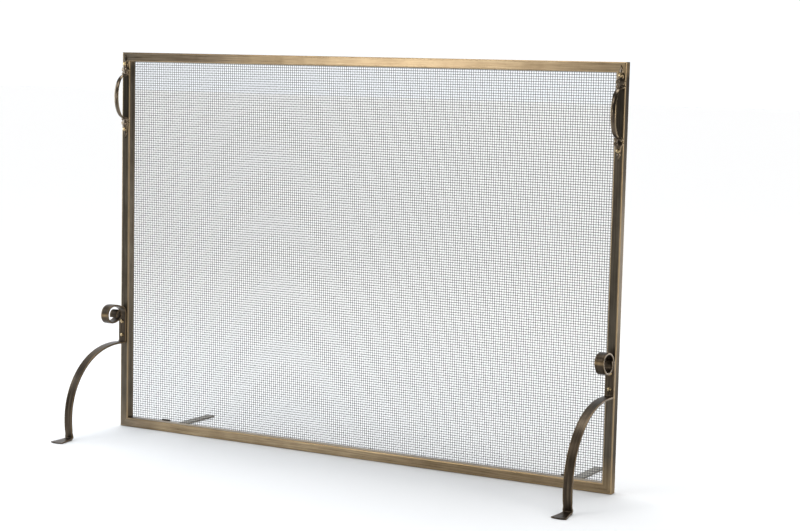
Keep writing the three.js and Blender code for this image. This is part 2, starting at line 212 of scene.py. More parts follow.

# Painted shade and light that multiply a colour, each from a share of the screen's width, from the
# left:
# the top rail's left end gets darker, bluer painted shade, the bottom rail painted shade at its ends
# and painted light (above 1) along its middle, and a stile's ends painted shade, most on the left
# stile.
TOP_PAINTED_SHADE = (
    (0, (0.45, 0.5, 0.62)), (0.05, (0.62, 0.64, 0.7)), (0.2, (0.72, 0.73, 0.8)), (0.29, (1, 1, 1)),
)
BOTTOM_PAINTED_LIGHT_AND_SHADE = (
    (0, (0.52, 0.56, 0.65)), (0.05, (0.8, 0.8, 0.84)), (0.1, (1.25, 1.25, 1.25)),
    (0.5, (1.25, 1.25, 1.25)), (0.65, (0.85, 0.82, 0.78)),
)
STILE_END_PAINTED_SHADE = (0, (0.47, 0.52, 0.64)), (0.05, (0.9, 0.87, 0.82))
FRONT_PAINTED_SHADE = 0.75  # painted shade on a stile's front
GRIP_PAINTED_SHADOW = 0.33  # the grip's painted shadow, on its front behind the grip
OUTER_PAINTED_SHADE = 0.6  # painted shade on its outer side
FACING = 0.93, 0.99  # how far a normal lies along an axis, for a face that is turned that way
LOWER_BLEND = 8 * MM, 70 * MM  # heights where a stile's colour leaves the rails' colour
UPPER_BLEND = HEIGHT - 30 * MM, HEIGHT - 16 * MM

# Detail and roughness of each noise.
STREAK_NOISE = 6, 0.65
BLOTCH_NOISE = 4, 0.6
SCUFF_NOISE = 3, 0.5

ALONG_GRAIN = 9  # streaks to a metre
ACROSS_GRAIN = 420
GRAIN_STRETCH = 520, 14, 1  # round, along and unused, for a piece with grain of its own
SCUFF_SHARE = 0.3  # scuffs to a streak
SCUFF_RANGE = 0.35, 0.65  # the noise that is least and most worn
STREAK_DEPTH = 0.03 * MM
BLOTCHES = 26  # to a metre
BLOTCH_SHADES = (0.3, (0.72, 0.7, 0.68)), (0.62, (1, 1, 1))
BLOTCH_STRENGTH = 0.8

WIRE_METAL = 0.9
WIRE_ROUGHNESS = 0.4
WIRE_COLOURS = {
    "wire_dark": (0.055, 0.058, 0.064),
    "wire_grey": (0.085, 0.09, 0.1),
    "wire_light": (0.12, 0.128, 0.142),
}


# ---- Material tools ----

def new_material(name):
    """A material, its node tree and its Principled shader."""
    material = bpy.data.materials.new(name)
    material.use_nodes = True
    tree = material.node_tree
    return material, tree, tree.nodes["Principled BSDF"]


def grey(value):
    """A grey as a colour."""
    return (value, value, value, 1)


def feed(tree, socket, value):
    """Links a socket to another one, or sets it to a plain value."""
    if isinstance(value, bpy.types.NodeSocket):
        tree.links.new(value, socket)
    else:
        socket.default_value = value


def math_node(tree, operation, *values):
    """A Math node's result."""
    node = tree.nodes.new("ShaderNodeMath")
    node.operation = operation
    for socket, value in zip(node.inputs, values):
        feed(tree, socket, value)
    return node.outputs[0]


def axes_of(tree, coordinates):
    """X, Y and Z of the surface's place in its object, or of its normal."""
    place = tree.nodes.new("ShaderNodeTexCoord")
    axes = tree.nodes.new("ShaderNodeSeparateXYZ")
    tree.links.new(place.outputs[coordinates], axes.inputs[0])
    return axes.outputs


def attribute(tree, name, output):
    """A value that the mesh holds at its points."""
    node = tree.nodes.new("ShaderNodeAttribute")
    node.attribute_name = name
    return node.outputs[output]


def stretched_noise(tree, stretch, kind, by_grain=False):
    """Noise at stretch cycles a metre along each axis, in object or in grain coordinates."""
    detail, roughness = kind
    if by_grain:
        source = attribute(tree, "grain", "Vector")
    else:
        source = tree.nodes.new("ShaderNodeTexCoord").outputs["Object"]
    mapping = tree.nodes.new("ShaderNodeMapping")
    mapping.inputs["Scale"].default_value = stretch
    cloud = tree.nodes.new("ShaderNodeTexNoise")
    cloud.inputs["Scale"].default_value = 1
    cloud.inputs["Detail"].default_value = detail
    cloud.inputs["Roughness"].default_value = roughness
    tree.links.new(source, mapping.inputs["Vector"])
    tree.links.new(mapping.outputs["Vector"], cloud.inputs["Vector"])
    return cloud.outputs["Fac"]


def ramp(tree, value, *stops, interpolation="LINEAR"):
    """A colour ramp with (position, colour) stops."""
    node = tree.nodes.new("ShaderNodeValToRGB")
    node.color_ramp.interpolation = interpolation
    while len(node.color_ramp.elements) < len(stops):
        node.color_ramp.elements.new(0.5)
    for element, (position, colour) in zip(node.color_ramp.elements, stops):
        element.position = position
        element.color = (*colour, 1)
    tree.links.new(value, node.inputs["Fac"])
    return node.outputs["Color"]


def spread(tree, value, low, high, start=0.3, end=0.7):
    """A value from start to end laid out from low to high."""
    node = tree.nodes.new("ShaderNodeMapRange")
    for key, number in zip(("From Min", "From Max", "To Min", "To Max"), (start, end, low, high)):
        node.inputs[key].default_value = number
    tree.links.new(value, node.inputs["Value"])
    return node.outputs["Result"]


def mixed(tree, factor, a, b, blend="MIX"):
    """Two colours mixed by a factor, on the Mix node's factor and colour sockets."""
    node = tree.nodes.new("ShaderNodeMix")
    node.data_type = "RGBA"
    node.blend_type = blend
    for number, value in ((0, factor), (6, a), (7, b)):
        feed(tree, node.inputs[number], value)
    return node.outputs[2]


def shaded(tree, colour, painted_shade):
    """A colour multiplied by another one."""
    return mixed(tree, 1, colour, painted_shade, "MULTIPLY")


def bump(tree, shader, height, distance):
    """Gives a shader small relief from a height."""
    node = tree.nodes.new("ShaderNodeBump")
    node.inputs["Distance"].default_value = distance
    node.inputs["Strength"].default_value = 1
    tree.links.new(height, node.inputs["Height"])
    tree.links.new(node.outputs["Normal"], shader.inputs["Normal"])


# ---- Materials ----

def paint_face_shade(tree, colour):
    """Paints shade on a stile's front and outer side, and the grip's painted shadow darkest on its
    front behind the grip.
    """
    facing = axes_of(tree, "Normal")
    place = axes_of(tree, "Object")
    slanted, square = FACING
    # The grip's painted shadow lies on the part of the front behind the grip.
    behind_grip = math_node(tree, "COMPARE", place["Z"], HANDLE_MIDDLE, BOW_END)
    painted_shade = mixed(tree, behind_grip, grey(FRONT_PAINTED_SHADE), grey(GRIP_PAINTED_SHADOW))
    on_front = spread(tree, facing["Y"], 1, 0, -square, -slanted)
    colour = mixed(tree, on_front, colour, shaded(tree, colour, painted_shade))
    outward = math_node(tree, "MULTIPLY", math_node(tree, "SIGN", place["X"]), facing["X"])
    on_side = spread(tree, outward, 0, 1, slanted, square)
    return mixed(tree, on_side, colour, shaded(tree, colour, grey(OUTER_PAINTED_SHADE)))


def near_rails(tree):
    """1 at a stile's two ends, where its colour is blended with the rails, and 0 between them."""
    height = axes_of(tree, "Object")["Z"]
    low = spread(tree, height, 1, 0, *LOWER_BLEND)
    high = spread(tree, height, 0, 1, *UPPER_BLEND)
    return math_node(tree, "MAXIMUM", low, high)


def bronze(name, along, tones, rub_and_sheen=(0.5, 0.36, 0.2), rough=(0.3, 0.44), worn_and_lit=0.6, painted_shading=None,
           edge_on=1, stile=False):
    """Brushed antique bronze: streaks along the grain, blotches of patina and rubbed edges, whose
    brightness is partly wear and partly a painted highlight.

    along is the axis of its grain, or "grain" for a piece with grain of its own, and tones are
    its dark, middle and light colours. The rub colour is the metal that shows where it is worn and
    where a highlight is painted on. edge_on is how much it reflects when it is seen from a low
    angle. Its painted shading is painted shade and light across the screen's width; a stile's is
    for its ends only, and a stile gets painted shade on its faces as well.
    """
    material, tree, shader = new_material(name)
    shader.inputs["Metallic"].default_value = 1
    shader.inputs["Specular Tint"].default_value = grey(edge_on)
    by_grain = along == "grain"
    stretch = [ALONG_GRAIN if axis == along else ACROSS_GRAIN for axis in "xyz"]
    if by_grain:
        stretch = GRAIN_STRETCH
    streaks = stretched_noise(tree, stretch, STREAK_NOISE, by_grain)
    colour = ramp(tree, streaks, *zip(STREAK_STOPS, tones))
    # Painted shade and light across the screen's width, multiplied into the colour.
    if painted_shading:
        from_left = spread(tree, axes_of(tree, "Object")["X"], 0, 1, -WIDTH / 2, WIDTH / 2)
        painted_shade = ramp(tree, from_left, *painted_shading)
    # A stile's ends take the rails' colour under painted shade, and its faces get painted shade as
    # well.
    if stile:
        as_rail = shaded(tree, ramp(tree, streaks, *zip(STREAK_STOPS, RAIL_TONES)), painted_shade)
        colour = mixed(tree, near_rails(tree), paint_face_shade(tree, colour), as_rail)
    elif painted_shading:
        colour = shaded(tree, colour, painted_shade)
    patina = ramp(tree, stretched_noise(tree, [BLOTCHES] * 3, BLOTCH_NOISE), *BLOTCH_SHADES)
    colour = mixed(tree, BLOTCH_STRENGTH, colour, patina, "MULTIPLY")
    coarse = [share * SCUFF_SHARE for share in stretch]
    scuffs = stretched_noise(tree, coarse, SCUFF_NOISE, by_grain)
    patchy = spread(tree, scuffs, worn_and_lit / 2, worn_and_lit, *SCUFF_RANGE)
    # Rubbed edges: partly wear, partly a painted highlight along the rounded edges.
    rubbed_and_lit = math_node(tree, "MULTIPLY", attribute(tree, "wear_and_sheen", "Fac"), patchy)
    colour = mixed(tree, rubbed_and_lit, colour, (*rub_and_sheen, 1))
    tree.links.new(colour, shader.inputs["Base Color"])
    tree.links.new(spread(tree, streaks, *rough), shader.inputs["Roughness"])
    bump(tree, shader, streaks, STREAK_DEPTH)
    return material


def wire_material(name, colour):
    """Dark drawn wire: the weave itself is its detail, so its colour is even."""
    material, _, shader = new_material(name)
    shader.inputs["Base Color"].default_value = (*colour, 1)
    shader.inputs["Metallic"].default_value = WIRE_METAL
    shader.inputs["Roughness"].default_value = WIRE_ROUGHNESS
    return material


# The two rail materials are one bronze under two different painted shadings across the width.
TOP_BRONZE = bronze("top_rail_bronze", "x", RAIL_TONES, rough=(0.26, 0.34), painted_shading=TOP_PAINTED_SHADE)
BOTTOM_BRONZE = bronze(
    "bottom_rail_bronze", "x", RAIL_TONES, rough=(0.26, 0.34), painted_shading=BOTTOM_PAINTED_LIGHT_AND_SHADE)
STILE_BRONZE = bronze(
    "stile_bronze", "z", STILE_TONES, rough=(0.28, 0.36), painted_shading=STILE_END_PAINTED_SHADE, edge_on=0.55,
    stile=True)
LEG_BRONZE = bronze(
    "leg_bronze", "grain", LEG_TONES, rub_and_sheen=(0.4, 0.28, 0.15), rough=(0.3, 0.42), worn_and_lit=0.42)
CAST_BRONZE = bronze(
    "cast_bronze", "grain", CAST_TONES, rub_and_sheen=(0.5, 0.38, 0.23), rough=(0.2, 0.3), worn_and_lit=0.75)
STRIP_BRONZE = bronze("strip_bronze", "x", STRIP_TONES, rough=(0.36, 0.5))
BRASS = bronze("screw_brass", "grain", BRASS_TONES, rub_and_sheen=(0.75, 0.6, 0.36), rough=(0.2, 0.3))
ZINC = bronze("dark_zinc", "grain", ZINC_TONES, rough=(0.3, 0.42))
WIRES = [wire_material(name, colour) for name, colour in WIRE_COLOURS.items()]


# ---- Mesh tools ----

def add_values(mesh, name, kind, field, values):
    """Gives a mesh a value at each point, for its materials."""
    layer = mesh.attributes.new(name, kind, "POINT")
    layer.data.foreach_set(field, np.ascontiguousarray(values, np.float32).ravel())


def rings_mesh(name, rings, wear_and_sheen):
    """A closed mesh through equal rings of points, with a value of wear and painted highlight for
    each point.

    Its grain runs from ring to ring: it holds the way round the ring and the way along.
    """
    rings = np.asarray(rings, float)
    count, size, _ = rings.shape
    start = np.arange(count - 1)[:, None] * size
    here = start + np.arange(size)
    beside = start + (np.arange(size) + 1) % size
    quads = np.stack([here, beside, beside + size, here + size], -1).reshape(-1, 4)
    ends = [list(range(size))[::-1], [(count - 1) * size + j for j in range(size)]]
    mesh = bpy.data.meshes.new(name)
    mesh.from_pydata(rings.reshape(-1, 3).tolist(), [], quads.tolist() + ends)
    add_values(mesh, "wear_and_sheen", "FLOAT", "value", np.broadcast_to(wear_and_sheen, (count, size)))
    round_ring = np.linalg.norm(np.diff(rings[count // 2], axis=0), axis=1)
    steps = np.linalg.norm(np.diff(rings.mean(1), axis=0), axis=1)
    grain = np.zeros((count, size, 3))
    grain[:, 1:, 0] = np.cumsum(round_ring)
    grain[1:, :, 1] = np.cumsum(steps)[:, None]
    add_values(mesh, "grain", "FLOAT_VECTOR", "vector", grain)
    return mesh


def new_object(name, data):
    """An object in the scene."""
    thing = bpy.data.objects.new(name, data)
    bpy.context.scene.collection.objects.link(thing)
    return thing


def add_piece(mesh, materials, slot, *nodes):
    """Puts a mesh in the scene as a piece that stands for these CAD nodes."""
    for material in materials:
        mesh.materials.append(material)
    thing = new_object(mesh.name, mesh)
    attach(thing, "root")
    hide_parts(*nodes)
    return thing


def turn_out(mesh, sharp):
    """Turns a mesh's faces outward and smooths it, but for edges sharper than an angle."""
    work = bmesh.new()
    work.from_mesh(mesh)
    bmesh.ops.recalc_face_normals(work, faces=work.faces)
    work.to_mesh(mesh)
    work.free()
    mesh.shade_smooth()
    mesh.set_sharp_from_angle(angle=math.radians(sharp))


def flatten_shading(thing):
    """Shades flat faces as flat, up to their rounded edges."""
    thing.modifiers.new("flat faces", "WEIGHTED_NORMAL").keep_sharp = True


def rounded_rectangle(half_u, half_v, radius, steps, flat):
    """Points round a rounded rectangle and a value of wear and painted highlight for each, highest
    on the corners.
    """
    points, wear_and_sheen = [], []
    for corner, (su, sv) in enumerate(((1, 1), (-1, 1), (-1, -1), (1, -1))):
        centre = np.array((su * (half_u - radius), sv * (half_v - radius)))
        turns = [math.pi / 2 * (corner + i / steps) for i in range(steps + 1)]
        arc = [centre + radius * np.array((math.cos(t), math.sin(t))) for t in turns]
        before = np.array((math.sin(turns[0]), -math.cos(turns[0]))) * flat
        after = np.array((-math.sin(turns[-1]), math.cos(turns[-1]))) * flat
        points += [arc[0] + before, *arc, arc[-1] + after]
        wear_and_sheen += [0] + [1] * len(arc) + [0]
    return np.array(points), np.array(wear_and_sheen, float)


def cad_piece(node, material, bevel):
    """Keeps a CAD node, with its edges eased, and gives it a material."""
    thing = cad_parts[node]
    thing.modifiers.new("weld", "WELD").merge_threshold = WELD
    edge = thing.modifiers.new("edges", "BEVEL")
    edge.width = bevel
    edge.segments = 2
    edge.limit_method = "ANGLE"
    flatten_shading(thing)
    for slot in thing.material_slots:
        slot.link = "OBJECT"
        slot.material = material


# ---- Frame ----

def tube(node, material, start, along, inward, length):
    """A mitred square tube whose outer edge starts at a point and runs along an axis."""
    start, along, inward = (np.array(v, float) for v in (start, along, inward))
    across = np.array((0, 1, 0), float)
    section, wear_and_sheen = rounded_rectangle(
        TUBE / 2, TUBE / 2, TUBE_CORNER, TUBE_CORNER_STEPS, TUBE_FLAT)
    shrunk = section * (1 - MITRE_CHAMFER / (TUBE / 2))
    rings = []
    for points, eased, near in (
            (shrunk, 0, True), (section, MITRE_CHAMFER, True),
            (section, MITRE_CHAMFER, False), (shrunk, 0, False)):
        ring = []
        for u, v in points:
            depth = u + TUBE / 2
            from_end = depth + eased + MITRE_GAP
            reach = from_end if near else length - from_end
            ring.append(start + inward * depth + across * v + along * reach)
        rings.append(ring)
    mesh = rings_mesh(f"{node}_tube", rings, wear_and_sheen)
    turn_out(mesh, sharp=38)
    flatten_shading(add_piece(mesh, [material], "frame", node))


def frame_pieces():
    """The four tubes, the strips behind them and the rear feet."""
    left, right = -WIDTH / 2, WIDTH / 2
    tube("top_rail", TOP_BRONZE, (left, 0, HEIGHT), (1, 0, 0), (0, 0, -1), WIDTH)
    tube("bottom_rail", BOTTOM_BRONZE, (left, 0, 0), (1, 0, 0), (0, 0, 1), WIDTH)
    tube("left_stile", STILE_BRONZE, (left, 0, 0), (0, 0, 1), (1, 0, 0), HEIGHT)
    tube("right_stile", STILE_BRONZE, (right, 0, 0), (0, 0, 1), (-1, 0, 0), HEIGHT)
    for edge in ("top", "bottom", "left", "right"):
        cad_piece(f"{edge}_strip", STRIP_BRONZE, STRIP_BEVEL)
    for word in ("left", "right"):
        cad_piece(f"{word}_rear_foot", STRIP_BRONZE, FOOT_BEVEL)


# ---- Woven wire ----

def wire_places(low, high):
    """Evenly pitched places between two limits, centred."""
    count = int((high - low - 2 * WIRE_RADIUS) / WIRE_PITCH) + 1
    return (np.arange(count) - (count - 1) / 2) * WIRE_PITCH + (low + high) / 2


def wire_faces(wires, stations, upright):
    """Faces of wires that run through a number of rings, and which wire each belongs to."""
    sides = np.arange(WIRE_SIDES)
    first = np.arange(wires)[:, None] * stations * WIRE_SIDES + sides
    last = first + (stations - 1) * WIRE_SIDES
    start = (np.arange(wires)[:, None] * stations + np.arange(stations - 1)) * WIRE_SIDES
    here = start[:, :, None] + sides
    beside = start[:, :, None] + (sides + 1) % WIRE_SIDES
    corners = [here, here + WIRE_SIDES, beside + WIRE_SIDES, beside]
    if upright:
        corners = corners[::-1]
        first = first[:, ::-1]
    else:
        last = last[:, ::-1]
    faces = np.stack(corners, -1).reshape(-1, 4).tolist() + first.tolist() + last.tolist()
    owners = np.arange(wires)
    owners = np.concatenate([np.repeat(owners, (stations - 1) * WIRE_SIDES), owners, owners])
    return faces, owners


def woven_wires(name, places, crossings, low, high, middle, upright):
    """One direction of a plain weave, in bundles of wires that pass over and under the others."""
    stations = np.concatenate([[low], crossings, [high]])
    turns = np.arange(WIRE_SIDES) * 2 * math.pi / WIRE_SIDES
    bundles = np.array_split(np.arange(len(places)), WIRE_BUNDLES)
    for number, bundle in enumerate(bundles):
        shape = (len(bundle), len(stations), WIRE_SIDES)
        over = (bundle[:, None] + np.arange(len(stations))) % 2 == 0
        side = np.where(over == upright, 1, -1)
        depth = middle + (side * WIRE_RADIUS)[:, :, None] + WIRE_RADIUS * np.sin(turns)
        along = np.broadcast_to(stations[None, :, None], shape)
        across = places[bundle][:, None, None] + WIRE_RADIUS * np.cos(turns)
        across = np.broadcast_to(across, shape)
        points = (across, depth, along) if upright else (along, depth, across)
        faces, owners = wire_faces(len(bundle), len(stations), upright)
        mesh = bpy.data.meshes.new(f"{name}_{number + 1}")
        mesh.from_pydata(np.stack(points, -1).reshape(-1, 3), [], faces)
        mesh.shade_smooth()
        add_piece(mesh, WIRES, "wire", "wire_mesh")
        painted_shading = (bundle * SHADE_STEP % SHADE_CYCLE % len(WIRES))[owners]
        mesh.polygons.foreach_set("material_index", painted_shading.astype(np.int32))


def wire_panel():
    """The weave that stands for the CAD's sheet."""
    low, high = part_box("wire_mesh")
    middle = (low.y + high.y) / 2
    across = wire_places(low.x, high.x)
    upright = wire_places(low.z, high.z)
    woven_wires("upright_wires", across, upright, low.z, high.z, middle, True)
    woven_wires("level_wires", upright, across, low.x, high.x, middle, False)


# ---- Legs ----

def spline(points, count):
    """A smooth line through points, as evenly parted samples of Catmull-Rom stretches."""
    points = np.array(points, float)
    last = len(points) - 1
    line = []
    for t in np.linspace(0, last, count):
        i = min(int(t), last - 1)
        w = t - i
        before, a, b, after = (points[min(max(k, 0), last)] for k in (i - 1, i, i + 1, i + 2))
        out, back = (b - before) / 2, (after - a) / 2
        line.append(
            (2 * a - 2 * b + out + back) * w**3 + (-3 * a + 3 * b - 2 * out - back) * w**2
            + out * w + a
        )
    return line


def bezier(points, count):
    """A Bezier curve of any degree, by blending its control points again and again."""
    line = []
    for t in np.linspace(0, 1, count):
        level = np.array(points, float)
        while len(level) > 1:
            level = level[:-1] * (1 - t) + level[1:] * t
        line.append(level[0])
    return line


def evenly(line, step):
    """A line sampled again at even steps."""
    line = np.array(line)
    parts = np.linalg.norm(np.diff(line, axis=0), axis=1)
    line = line[np.concatenate([[True], parts > 1e-6])]
    length = np.concatenate([[0], np.cumsum(np.linalg.norm(np.diff(line, axis=0), axis=1))])
    at = np.linspace(0, length[-1], int(length[-1] / step) + 1)
    return np.stack([np.interp(at, length, line[:, k]) for k in (0, 1)], -1)


def leg_line(scroll):
    """The middle line of a leg's bar in metres, from the curl's end to the toe's start."""
    line = spline(scroll, SCROLL_SAMPLES)
    for controls, samples in LEG_STRETCHES:
        line += bezier(controls, samples)
    return evenly(line, LEG_RING_STEP) * MM


def bar_section():
    """A flat bar's section across its width and its thickness, slightly crowned."""
    points, wear_and_sheen = rounded_rectangle(
        LEG_WIDTH / 2, LEG_THICKNESS / 2, LEG_CORNER, LEG_CORNER_STEPS, LEG_FLAT)
    full, worn_and_lit = [], []
    for i, (point, value) in enumerate(zip(points, wear_and_sheen)):
        full.append(point)
        worn_and_lit.append(value)
        ahead = points[(i + 1) % len(points)]
        if abs(ahead[0] - point[0]) > LEG_WIDTH / 2:
            full += [point + (ahead - point) * share for share in (0.25, 0.5, 0.75)]
            worn_and_lit += [0, 0, 0]
    full = np.array(full)
    crown = 1 - (full[:, 0] / (LEG_WIDTH / 2)) ** 2
    full[:, 1] += np.sign(full[:, 1]) * LEG_CROWN * np.clip(crown, 0, 1)
    full[:, 1] *= (LEG_THICKNESS / 2) / (LEG_THICKNESS / 2 + LEG_CROWN)
    return full, np.array(worn_and_lit)


def bell(place, middle, reach):
    """A bump of height 1, with its middle and reach given in millimetres."""
    return math.exp(-(((place - middle * MM) / (reach * MM)) ** 2))


def bar_rings(line, section, side):
    """The bar from the curl to the heel, swollen and hammered at the ankle."""
    ahead = np.gradient(line, axis=0)
    ahead /= np.linalg.norm(ahead, axis=1)[:, None]
    normal = np.stack([-ahead[:, 1], ahead[:, 0]], -1)
    rings = []
    for (y, z), (ny, nz) in zip(line, normal):
        girth, hammered = 1, 0
        if y < SHIN_BACK:
            for middle, reach, change in (ANKLE_NECK, ANKLE_SWELLING):
                girth += change * bell(z, middle, reach)
            hammered = HAMMER_DEPTH * bell(z, *HAMMER_PLACE)
        ring = []
        for u, v in section:
            mark = noise.noise(Vector((u, y, z)) / HAMMER_SIZE + Vector((side, 0, 0)))
            out = v + mark * hammered * (v > 0)
            ring.append((u * girth, y + ny * out, z + nz * out))
        rings.append(ring)
    tip = []
    for x, y, z in rings[0]:
        from_middle = (np.array((y, z)) - line[0]) * TIP_THICKNESS
        tip.append((x * TIP_WIDTH, *(line[0] + from_middle - ahead[0] * TIP_LENGTH)))
    return [tip, *rings]


def bar_wear_and_sheen(line, section, wear_and_sheen):
    """Wear on the bar's edges, and a painted highlight across the front of its curl."""
    curl = np.where(line[:, 1] > SCROLL_FOOT, line[:, 0], 0)
    crest_y, crest_z = line[np.argmin(curl)]
    worn_and_lit = [wear_and_sheen]
    for y, z in line:
        # The painted highlight: a band across the front of the curl.
        rubbed_and_lit = CREST_PAINTED_HIGHLIGHT * bell(z - crest_z, 0, CREST_REACH) * (y - crest_y < CREST_DEPTH)
        worn_and_lit.append([max(value, rubbed_and_lit * (v > 0)) for (_, v), value in zip(section, wear_and_sheen)])
    return worn_and_lit


def toe_place(u, share):
    """Where a line of the bar lies in the flared toe, a share of the way to its round end."""
    radius = (LEG_WIDTH**2 + TOE_BULGE**2) / (2 * TOE_BULGE)
    end = TOE_END
    for _ in range(TOE_FITS):
        out = (TOE_START - end) / (TOE_START - TOE_END)
        widest = u * (1 + TOE_FLARE * out**TOE_SPREAD)
        end = TOE_END + radius - math.sqrt(radius**2 - widest**2)
    y = TOE_START + (end - TOE_START) * share
    out = (TOE_START - y) / (TOE_START - TOE_END)
    return u * (1 + TOE_FLARE * out**TOE_SPREAD), y, out


def toe_rings(section, side):
    """The toe: the bar drawn out wide and thin, dented on top, with a round end."""
    rings = []
    for share in np.linspace(TOE_FIRST_RING, 1, TOE_RINGS):
        ring = []
        for u, v in section:
            x, y, out = toe_place(u, share)
            thick = LEG_THICKNESS * (1 - TOE_THINNING * out)
            z = thick / 2 - v * thick / LEG_THICKNESS
            if v < 0:
                place = Vector((x, y, TOE_DENT_SLICE)) / TOE_DENT_SIZE
                dent = noise.noise(place + Vector((side, 0, 0)))
                depth = TOE_DENT_DEPTH * min(out * TOE_DENT_FADE, 1) * (1 - (u / LEG_WIDTH * 2) ** 4)
                z += (dent - TOE_DENT_LEVEL) * depth
            ring.append((x, y, z))
        rings.append(ring)
    last = np.array(rings[-1])
    centre = last.mean(0)
    tip = centre + (last - centre) * TOE_TIP_SHAPE + (0, -TOE_TIP_LENGTH, 0)
    return [*rings, tip]


def leg(word, side):
    """A leg: one flat bar rolled into a scroll, arched, and drawn out to a fishtail toe."""
    line = leg_line(SCROLLS[word])
    section, wear_and_sheen = bar_section()
    toe = toe_rings(section, side)
    rings = np.array(bar_rings(line, section, side) + toe, float)
    low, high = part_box(f"{word}_leg")
    rings[:, :, 0] += (low.x + high.x) / 2
    rings[:, :, 1] = np.maximum(rings[:, :, 1] + LEG_BACK, low.y)
    rings[:, :, 2] = np.maximum(rings[:, :, 2], 0)
    worn_and_lit = bar_wear_and_sheen(line, section, wear_and_sheen) + [wear_and_sheen] * len(toe)
    mesh = rings_mesh(f"{word}_leg_bar", rings, worn_and_lit)
    turn_out(mesh, sharp=50)
    add_piece(mesh, [LEG_BRONZE], "leg", f"{word}_leg")


# ---- Handles ----

def plate_shape(u):
    """Half width and thickness of an end plate at a distance from the handle's middle."""
    smooth = np.array(spline(END_PLATE, PLATE_SAMPLES * len(END_PLATE)))
    return [np.interp(u, smooth[:, 0], smooth[:, k]) for k in (1, 2)]


def end_plate(way):
    """A cast end plate: flared leaves, a waist, a round seat and a ridged spear tip."""
    rings, wear_and_sheen = [], []
    for u in np.linspace(END_PLATE[0][0], END_PLATE[-1][0], PLATE_RINGS):
        half, thick = plate_shape(u)
        spear = min(max((u - SPEAR_START) / SPEAR_BLEND, 0), 1)
        leaf = math.exp(-(((u - LEAF_MIDDLE) / LEAF_REACH) ** 2))
        ring, worn_and_lit = [], []
        for j in range(PLATE_STEPS + 1):
            turn = math.pi * j / PLATE_STEPS
            side = math.cos(turn)
            inward = 1 - abs(side)
            dome = math.sin(turn) ** PLATE_DOME
            rise = dome + (inward**SPEAR_RIDGE - dome) * spear
            bearing = math.atan2(abs(side) * half, u - LEAF_ROOT + 1e-3)
            vein = leaf * VEIN_DEPTH * abs(math.sin(VEIN_COUNT * bearing))
            rise *= 1 - vein * min(1, VEIN_FADE * inward)
            ring.append((half * side, -thick * rise, way * u))
            worn_and_lit.append(abs(side) ** PLATE_WEAR_AND_SHEEN)
        rings.append(ring)
        wear_and_sheen.append(worn_and_lit)
    return np.array(rings) * MM, np.array(wear_and_sheen)


def bow():
    """The bow: a leaf-like oval strap with a soft ridge down its front."""
    rings, wear_and_sheen = [], []
    for t in np.linspace(-1, 1, BOW_RINGS):
        c, s = math.cos(t * math.pi / 2), math.sin(t * math.pi / 2)
        y = -BOW_ROOT - (BOW_REACH - BOW_ROOT) * c**BOW_ARCH
        girth = BOW_END_WIDTH + (1 - BOW_END_WIDTH) * c**BOW_TAPER
        thickness = girth * (1 - BOW_END_THICKNESS) + BOW_END_THICKNESS
        outward = np.array((-BOW_END * c, BOW_REACH * s))
        outward /= np.linalg.norm(outward)
        ring, worn_and_lit = [], []
        for j in range(BOW_SIDES):
            turn = 2 * math.pi * j / BOW_SIDES
            side, lift = math.cos(turn), math.sin(turn)
            across = BOW_WIDTH / 2 * girth * math.copysign(abs(side) ** BOW_SECTION, side)
            ridge = max(lift, 0) * BOW_RIDGE_RISE * math.exp(-((across / BOW_RIDGE) ** 2))
            out = BOW_THICKNESS / 2 * thickness * (BOW_BACKING * lift + ridge)
            ring.append((across, y + outward[0] * out, BOW_END * s + outward[1] * out))
            worn_and_lit.append(abs(side) ** BOW_WEAR_AND_SHEEN)
        rings.append(ring)
        wear_and_sheen.append(worn_and_lit)
    return np.array(rings), np.array(wear_and_sheen)


def handle(word, side):
    """A cast handle: its bow and both end plates as one mesh."""
    joined = bmesh.new()
    for rings, wear_and_sheen in (bow(), end_plate(1), end_plate(-1)):
        rings[:, :, 1] = np.minimum(rings[:, :, 1], 0)
        rings += (side * STILE_X, handle_high.y, HANDLE_MIDDLE)
        joined.from_mesh(rings_mesh("part", rings, wear_and_sheen))
    mesh = bpy.data.meshes.new(f"{word}_cast_handle")
    joined.to_mesh(mesh)
    joined.free()
    turn_out(mesh, sharp=60)
    add_piece(mesh, [CAST_BRONZE], "handle", f"{word}_handle")


# ---- Screws ----

def head_mesh(name, radius, rise, slot_turn):
    """A domed head with its underside on y = 0 and a driver slot across its top."""
    rings, wear_and_sheen = [], []
    for i in range(HEAD_STEPS):
        tilt = math.pi / 2 * (1 - i / HEAD_STEPS)
        ring, worn_and_lit = [], []
        for j in range(HEAD_SIDES):
            turn = 2 * math.pi * j / HEAD_SIDES
            x, z = math.cos(turn) * math.sin(tilt), math.sin(turn) * math.sin(tilt)
            from_slot = abs(x * math.sin(slot_turn) - z * math.cos(slot_turn))
            cut = DRIVER_DEPTH if from_slot < DRIVER_SLOT else 0
            height = max(HEAD_EDGE + (1 - HEAD_EDGE) * math.cos(tilt) - cut, HEAD_FLOOR)
            ring.append((radius * x, -rise * height, radius * z))
            # Brighter towards the top: partly wear, partly a painted highlight.
            worn_and_lit.append(math.cos(tilt))
        rings.append(ring)
        wear_and_sheen.append(worn_and_lit)
    rim = [(x, 0, z) for x, _, z in rings[0]]
    return rings_mesh(name, [rim, *rings], [[RIM_WEAR_AND_SHEEN] * HEAD_SIDES, *wear_and_sheen])


